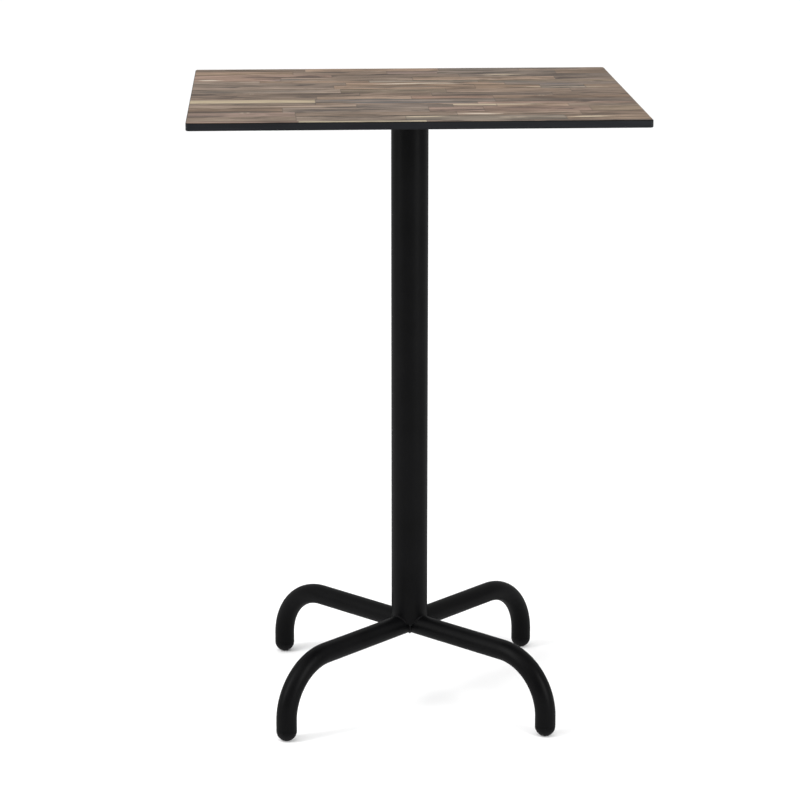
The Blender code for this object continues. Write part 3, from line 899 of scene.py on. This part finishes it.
def make_leg():
    """A bent tube along +X. Its inner end is mitred on two planes that meet at the axis."""
    bm = bmesh.new()
    side = Vector((0, 1, 0))
    angles = [step / LEG_SIDES * math.tau for step in range(LEG_SIDES)]
    mitre = [bm.verts.new((abs(LEG_RADIUS * math.sin(a)) + LEG_GAP, LEG_RADIUS * math.sin(a),
                           LEG_AXIS_HEIGHT + LEG_RADIUS * math.cos(a))) for a in angles]
    rings = [mitre]
    for point, along in leg_stations():
        up = side.cross(along) * -1
        rings.append([bm.verts.new(point + side * (LEG_RADIUS * math.sin(a))
                                   + up * (LEG_RADIUS * math.cos(a))) for a in angles])
    join_rings(bm, rings)
    half = LEG_SIDES // 2
    bm.faces.new(mitre[:half + 1])
    bm.faces.new(mitre[half:] + mitre[:1])
    bm.faces.new(rings[-1])
    return mesh_object("leg", bm, COAT)


def bead(name, path, size=BEAD_RADIUS):
    """A weld bead along a path: overlapping ripples, tapered at both ends."""
    lengths = [0.0]
    for before, after in zip(path, path[1:]):
        lengths.append(lengths[-1] + (after - before).length)
    total = lengths[-1]
    radii = []
    for distance in lengths:
        ripple = 1 - BEAD_RIPPLE * ((distance / BEAD_PITCH) % 1.0)
        from_end = min(distance, total - distance)
        radii.append(size * ripple * min(1.0, from_end / (2 * size) + 0.25))
    bm = bmesh.new()
    sweep(bm, path, radii, BEAD_SIDES)
    return mesh_object(name, bm, WELD)


def even_points(curve, first, last):
    """Points about BEAD_STEP apart along curve(t) for t from first to last."""
    def spread(count):
        return [curve(first + (last - first) * step / count) for step in range(count + 1)]

    rough = spread(ROUGH_STEPS)
    length = sum((b - a).length for a, b in zip(rough, rough[1:]))
    return spread(round(length / BEAD_STEP))


def saddle_curve(angle):
    """Where the column's surface meets a leg along +X, by the angle about the leg."""
    across = LEG_RADIUS * math.sin(angle)
    out = math.sqrt(COLUMN_RADIUS ** 2 - across ** 2)
    return Vector((out, across, LEG_AXIS_HEIGHT + LEG_RADIUS * math.cos(angle)))


def mitre_curve(angle):
    """The seam between legs along +X and +Y, by the angle up from its lowest point."""
    out = LEG_RADIUS * math.sin(angle)
    return Vector((out, out, LEG_AXIS_HEIGHT - LEG_RADIUS * math.cos(angle)))


def tab_curve(angle):
    """Inside the lower edge of the column's tab between legs along +X and +Y."""
    out = COLUMN_RADIUS - COLUMN_WALL / 2 - TAB_BEAD_RADIUS / 2
    return polar(out, angle, COLUMN_BOTTOM - TAB_BEAD_RADIUS / 3)


def make_hub_welds():
    """Beads over each leg at the column, along the mitres, and under the column's tabs."""
    limit = math.acos((COLUMN_BOTTOM - LEG_AXIS_HEIGHT) / LEG_RADIUS)
    share_out(bead("hub", even_points(saddle_curve, -limit, limit)), "hub_weld")
    share_out(bead("mitre", even_points(mitre_curve, *MITRE_SPAN), TAB_BEAD_RADIUS), "mitre_weld")
    share_out(bead("tab", even_points(tab_curve, *TAB_SPAN), TAB_BEAD_RADIUS), "tab_weld")


def make_arm_welds():
    """A bead round the bottom and sides of each support arm where it meets the column."""
    def on_column(across, height):
        return Vector((math.sqrt(COLUMN_RADIUS ** 2 - across ** 2), across, height))

    reach = ARM_WIDTH / 2
    inner = reach - ARM_CORNER
    start_height = ARM_TOP - ARM_WELD_DROP
    corner_height = ARM_BOTTOM + ARM_CORNER
    route = [on_column(across, height) for across, height in (
        (-reach, start_height), (-reach, corner_height), (-inner, ARM_BOTTOM), (0, ARM_BOTTOM),
        (inner, ARM_BOTTOM), (reach, corner_height), (reach, start_height))]
    path = []
    for start, end in zip(route, route[1:]):
        steps = round((end - start).length / BEAD_STEP)
        for step in range(steps):
            across = start.y + (end.y - start.y) * step / steps
            height = start.z + (end.z - start.z) * step / steps
            path.append(on_column(across, height))
    path.append(route[-1])
    share_out(bead("arm", path), "arm_weld")


# ---- feet

FOOT_SIDES = 72
PAD_RINGS = 18
PAD_CONTACT_RADIUS = 0.004
GAP = 0.0003
STUD_BORE = 0.00435
EASE = 0.0004  # softened rims of the moulded parts
PLUG_STEP = 0.00245  # from the flange's rim to the body inside the leg
PLUG_RIM = 0.0002
NUT_FLATS = 0.013
NUT_CHAMFER = 0.0006
NUT_FACE = 0.97  # the round face's share of the width across flats
THREAD_PITCH = 0.00125
THREAD_DEPTH = 0.0007
THREAD_SLOPE = 2.6  # steepness of the groove's sides
THREAD_STEPS = 8  # levels in one turn
THREAD_SIDES = 24


def make_pad(corner, place):
    """A ball of the leg's radius, cut level above and flattened where it stands."""
    ball_height = math.sqrt(LEG_RADIUS ** 2 - PAD_CONTACT_RADIUS ** 2)
    highest = math.asin((ball_height - PAD_HEIGHT) / LEG_RADIUS)
    lowest = math.asin(ball_height / LEG_RADIUS)
    bore_floor = STUD_BOTTOM - GAP
    profile = [(0, bore_floor), (STUD_BORE, bore_floor), (STUD_BORE, PAD_HEIGHT),
               (LEG_RADIUS - EASE, PAD_HEIGHT)]
    for step in range(PAD_RINGS + 1):
        angle = highest + step / PAD_RINGS * (lowest - highest)
        height = ball_height - LEG_RADIUS * math.sin(angle)
        profile.append((LEG_RADIUS * math.cos(angle), min(height, PAD_HEIGHT - EASE)))
    profile.append((0, 0))
    settle(turned(f"domed_pad_{corner}", PLASTIC, profile, FOOT_SIDES, place),
           f"foot_{corner}", "black_plastic", f"foot_pad_{corner}")


def make_plug(corner, place, nut_bottom):
    """A flanged plug in the leg's end, with a pocket for the nut above the stud's bore."""
    flange_top = LEG_END - GAP
    body = LEG_RADIUS - PLUG_STEP
    pocket_floor = nut_bottom - GAP
    rim = PLUG_RIM
    pocket = hexagon(NUT_FLATS + 2 * GAP)
    profile = [(STUD_BORE, pocket_floor), (STUD_BORE, PLUG_BOTTOM + rim),
               (STUD_BORE + rim, PLUG_BOTTOM), (LEG_RADIUS - rim, PLUG_BOTTOM),
               (LEG_RADIUS, PLUG_BOTTOM + rim), (LEG_RADIUS, flange_top - rim),
               (LEG_RADIUS - rim, flange_top), (body, flange_top), (body, PLUG_TOP - EASE),
               (body - EASE, PLUG_TOP), (pocket, PLUG_TOP), (pocket, pocket_floor)]
    settle(turned(f"leg_plug_{corner}", PLASTIC, profile, FOOT_SIDES, place, closed=True),
           "table", "black_plastic", f"foot_plug_{corner}")


def make_nut(corner, place, nut_bottom):
    """A hexagon nut with both ends chamfered to a circle, and a chamfered bore."""
    mouth = STUD_BORE + NUT_CHAMFER
    face = NUT_FLATS / 2 * NUT_FACE
    flats = hexagon(NUT_FLATS)
    low = nut_bottom + NUT_CHAMFER
    high = PLUG_TOP - NUT_CHAMFER
    profile = [(STUD_BORE, low), (mouth, nut_bottom), (face, nut_bottom), (flats, low),
               (flats, high), (face, PLUG_TOP), (mouth, PLUG_TOP), (STUD_BORE, high)]
    settle(turned(f"hexagon_nut_{corner}", ZINC, profile, FOOT_SIDES, place, closed=True),
           "table", "zinc_steel", f"foot_nut_{corner}")


def make_stud(corner, place):
    """A threaded stud: a ring whose radius follows the thread's turn at each level."""
    outer = size_of(f"foot_stud_{corner}").x / 2
    levels = round((STUD_TOP - STUD_BOTTOM) / THREAD_PITCH * THREAD_STEPS)

    def thread(height):
        def radius(angle):
            phase = (height / THREAD_PITCH - angle / math.tau) % 1.0
            return outer - THREAD_DEPTH * max(0.0, 1 - abs(phase - 0.5) * THREAD_SLOPE)
        return radius

    profile = []
    for level in range(levels + 1):
        height = STUD_BOTTOM + (STUD_TOP - STUD_BOTTOM) * level / levels
        at_end = level in (0, levels)
        profile.append((outer - THREAD_DEPTH if at_end else thread(height), height))
    settle(turned(f"threaded_stud_{corner}", ZINC, profile, THREAD_SIDES, place, capped=True),
           f"foot_{corner}", "zinc_steel", f"foot_stud_{corner}")


def make_feet():
    for corner in CORNERS:
        place = floor_place(f"foot_pad_{corner}")
        nut_bottom = levels_of(f"foot_nut_{corner}")[0]
        make_pad(corner, place)
        make_plug(corner, place, nut_bottom)
        make_nut(corner, place, nut_bottom)
        make_stud(corner, place)


# ---- fixings under the top

HEAD_SIDES = 48
HEAD_STEPS = 8
HEAD_FLAT = 0.45  # the button head's flat end, as a share of its radius
HEAD_RIM = 0.25  # the head's straight rim, as a share of its height
SHANK_RADIUS = 0.0029
SHANK_CHAMFER = 0.0003
SOCKET_FLATS = 0.004
SOCKET_DEPTH = 0.0018
WASHER_BORE = 0.0033
WASHER_EASE = 0.00025


def make_screw(spot, place):
    """A button-head screw, head down, with a hexagon socket; its head ends at the washer."""
    name = f"top_screw_{spot}"
    low, high = levels_of(name)
    radius = size_of(name).x / 2
    seat = levels_of(f"top_washer_{spot}")[0] - GAP
    head = seat - low
    profile = [(0, high), (SHANK_RADIUS - SHANK_CHAMFER, high),
               (SHANK_RADIUS, high - SHANK_CHAMFER), (SHANK_RADIUS, seat), (radius, seat),
               (radius, seat - head * HEAD_RIM)]
    for step in range(1, HEAD_STEPS):
        angle = step / HEAD_STEPS * math.pi / 2
        profile.append((radius * (HEAD_FLAT + (1 - HEAD_FLAT) * math.cos(angle)),
                        seat - head * (HEAD_RIM + (1 - HEAD_RIM) * math.sin(angle))))
    socket = hexagon(SOCKET_FLATS)
    profile += [(radius * HEAD_FLAT, low), (socket, low), (socket, low + SOCKET_DEPTH)]
    settle(turned(f"button_screw_{spot}", ZINC, profile, HEAD_SIDES, place, capped=True),
           "table", "zinc_steel", name)


def make_washer(spot, place):
    """A flat washer with eased rims."""
    name = f"top_washer_{spot}"
    low, high = levels_of(name)
    outer = size_of(name).x / 2
    profile = [(outer - WASHER_EASE, high), (outer, high - WASHER_EASE),
               (outer, low + WASHER_EASE), (outer - WASHER_EASE, low),
               (WASHER_BORE, low), (WASHER_BORE, high)]
    settle(turned(f"flat_washer_{spot}", ZINC, profile, HEAD_SIDES, place, closed=True),
           "table", "zinc_steel", name)


def make_fixings():
    """Screws and washers on the CAD's eight fixing spots."""
    for name in sorted(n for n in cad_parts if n.startswith("top_screw_")):
        spot = name.removeprefix("top_screw_")
        place = floor_place(name)
        make_screw(spot, place)
        make_washer(spot, place)


def dress_cad_nodes():
    """The CAD nodes that are shown as they are get the finished materials."""
    looks = {"support_arm": COAT, "arm_cap": PLASTIC, "top_insert": BRASS}
    for name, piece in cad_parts.items():
        for start, material in looks.items():
            if name.startswith(start):
                piece.data.materials.clear()
                piece.data.materials.append(material)


# ---- floor, light and camera

ROOM_LIGHT = 0.50  # the room on the camera's side
BACKDROP_LIGHT = 1.0  # the white backdrop behind the table
FLOOR_HALF = 60.0
SUN_SPREAD = math.radians(60)
SOFTBOX_HEIGHT = 2.4
LIGHT_TARGET = Vector((0, 0, 0.6))


def make_stage():
    """A pale floor, and a room that is brighter behind the table than before it."""
    bm = bmesh.new()
    bmesh.ops.create_grid(bm, x_segments=4, y_segments=4, size=FLOOR_HALF)
    material, tree = new_material("studio_floor")
    tone = noise(tree, scale=3, detail=3)
    color = blend_colors(tree, tone, (0.955, 0.955, 0.955), (0.97, 0.97, 0.97))
    shade(tree, Base_Color=color, Roughness=0.8, Specular_IOR_Level=0.1)
    floor = mesh_object("studio_floor", bm, material, smooth=False)

    world = bpy.data.worlds.new("studio")
    world.use_nodes = True
    tree = world.node_tree
    direction = node(tree, "ShaderNodeTexCoord").outputs["Generated"]
    strength = ramp(tree, axes(tree, direction)[1], -0.7, 0.5, ROOM_LIGHT, BACKDROP_LIGHT)
    background = tree.nodes["Background"]
    feed(tree, background.inputs["Color"], (1, 1, 1, 1))
    feed(tree, background.inputs["Strength"], strength)
    bpy.context.scene.world = world


def add_light(name, kind, location, energy, **settings):
    light = bpy.data.lights.new(name, kind)
    light.energy = energy
    for key, value in settings.items():
        setattr(light, key, value)
    lamp = show(name, light)
    lamp.location = location
    lamp.rotation_euler = (LIGHT_TARGET - Vector(location)).to_track_quat("-Z", "Y").to_euler()


def make_lights():
    add_light("sky", "SUN", (-1.5, -1.0, 4.0), 1.0, angle=SUN_SPREAD)
    add_light("left_softbox", "AREA", (-2.6, -1.0, 1.9), 60, shape="RECTANGLE", size=0.9,
              size_y=SOFTBOX_HEIGHT)
    add_light("right_softbox", "AREA", (2.2, -2.2, 1.7), 75, shape="RECTANGLE", size=1.1,
              size_y=SOFTBOX_HEIGHT)


CAMERA_PLACE = (-0.2233, -4.1424, 1.6097)
CAMERA_YAW = math.radians(2.8675)
CAMERA_PITCH = math.radians(14.828)
CAMERA_LENS = 116.9
CAMERA_SENSOR = 36.0


def make_camera():
    data = bpy.data.cameras.new("camera")
    data.sensor_width = CAMERA_SENSOR
    data.lens = CAMERA_LENS
    data.clip_end = 200
    camera = show("camera", data)
    camera.location = CAMERA_PLACE
    camera.rotation_euler = (math.pi / 2 - CAMERA_PITCH, 0, -CAMERA_YAW)
    bpy.context.scene.camera = camera


make_decor_sheet()
make_core()
make_column()
share_out(make_leg(), "bent_leg", "leg")
make_hub_welds()
make_arm_welds()
make_feet()
make_fixings()
dress_cad_nodes()
make_stage()
make_lights()
make_camera()
bpy.context.scene.view_settings.view_transform = "Standard"
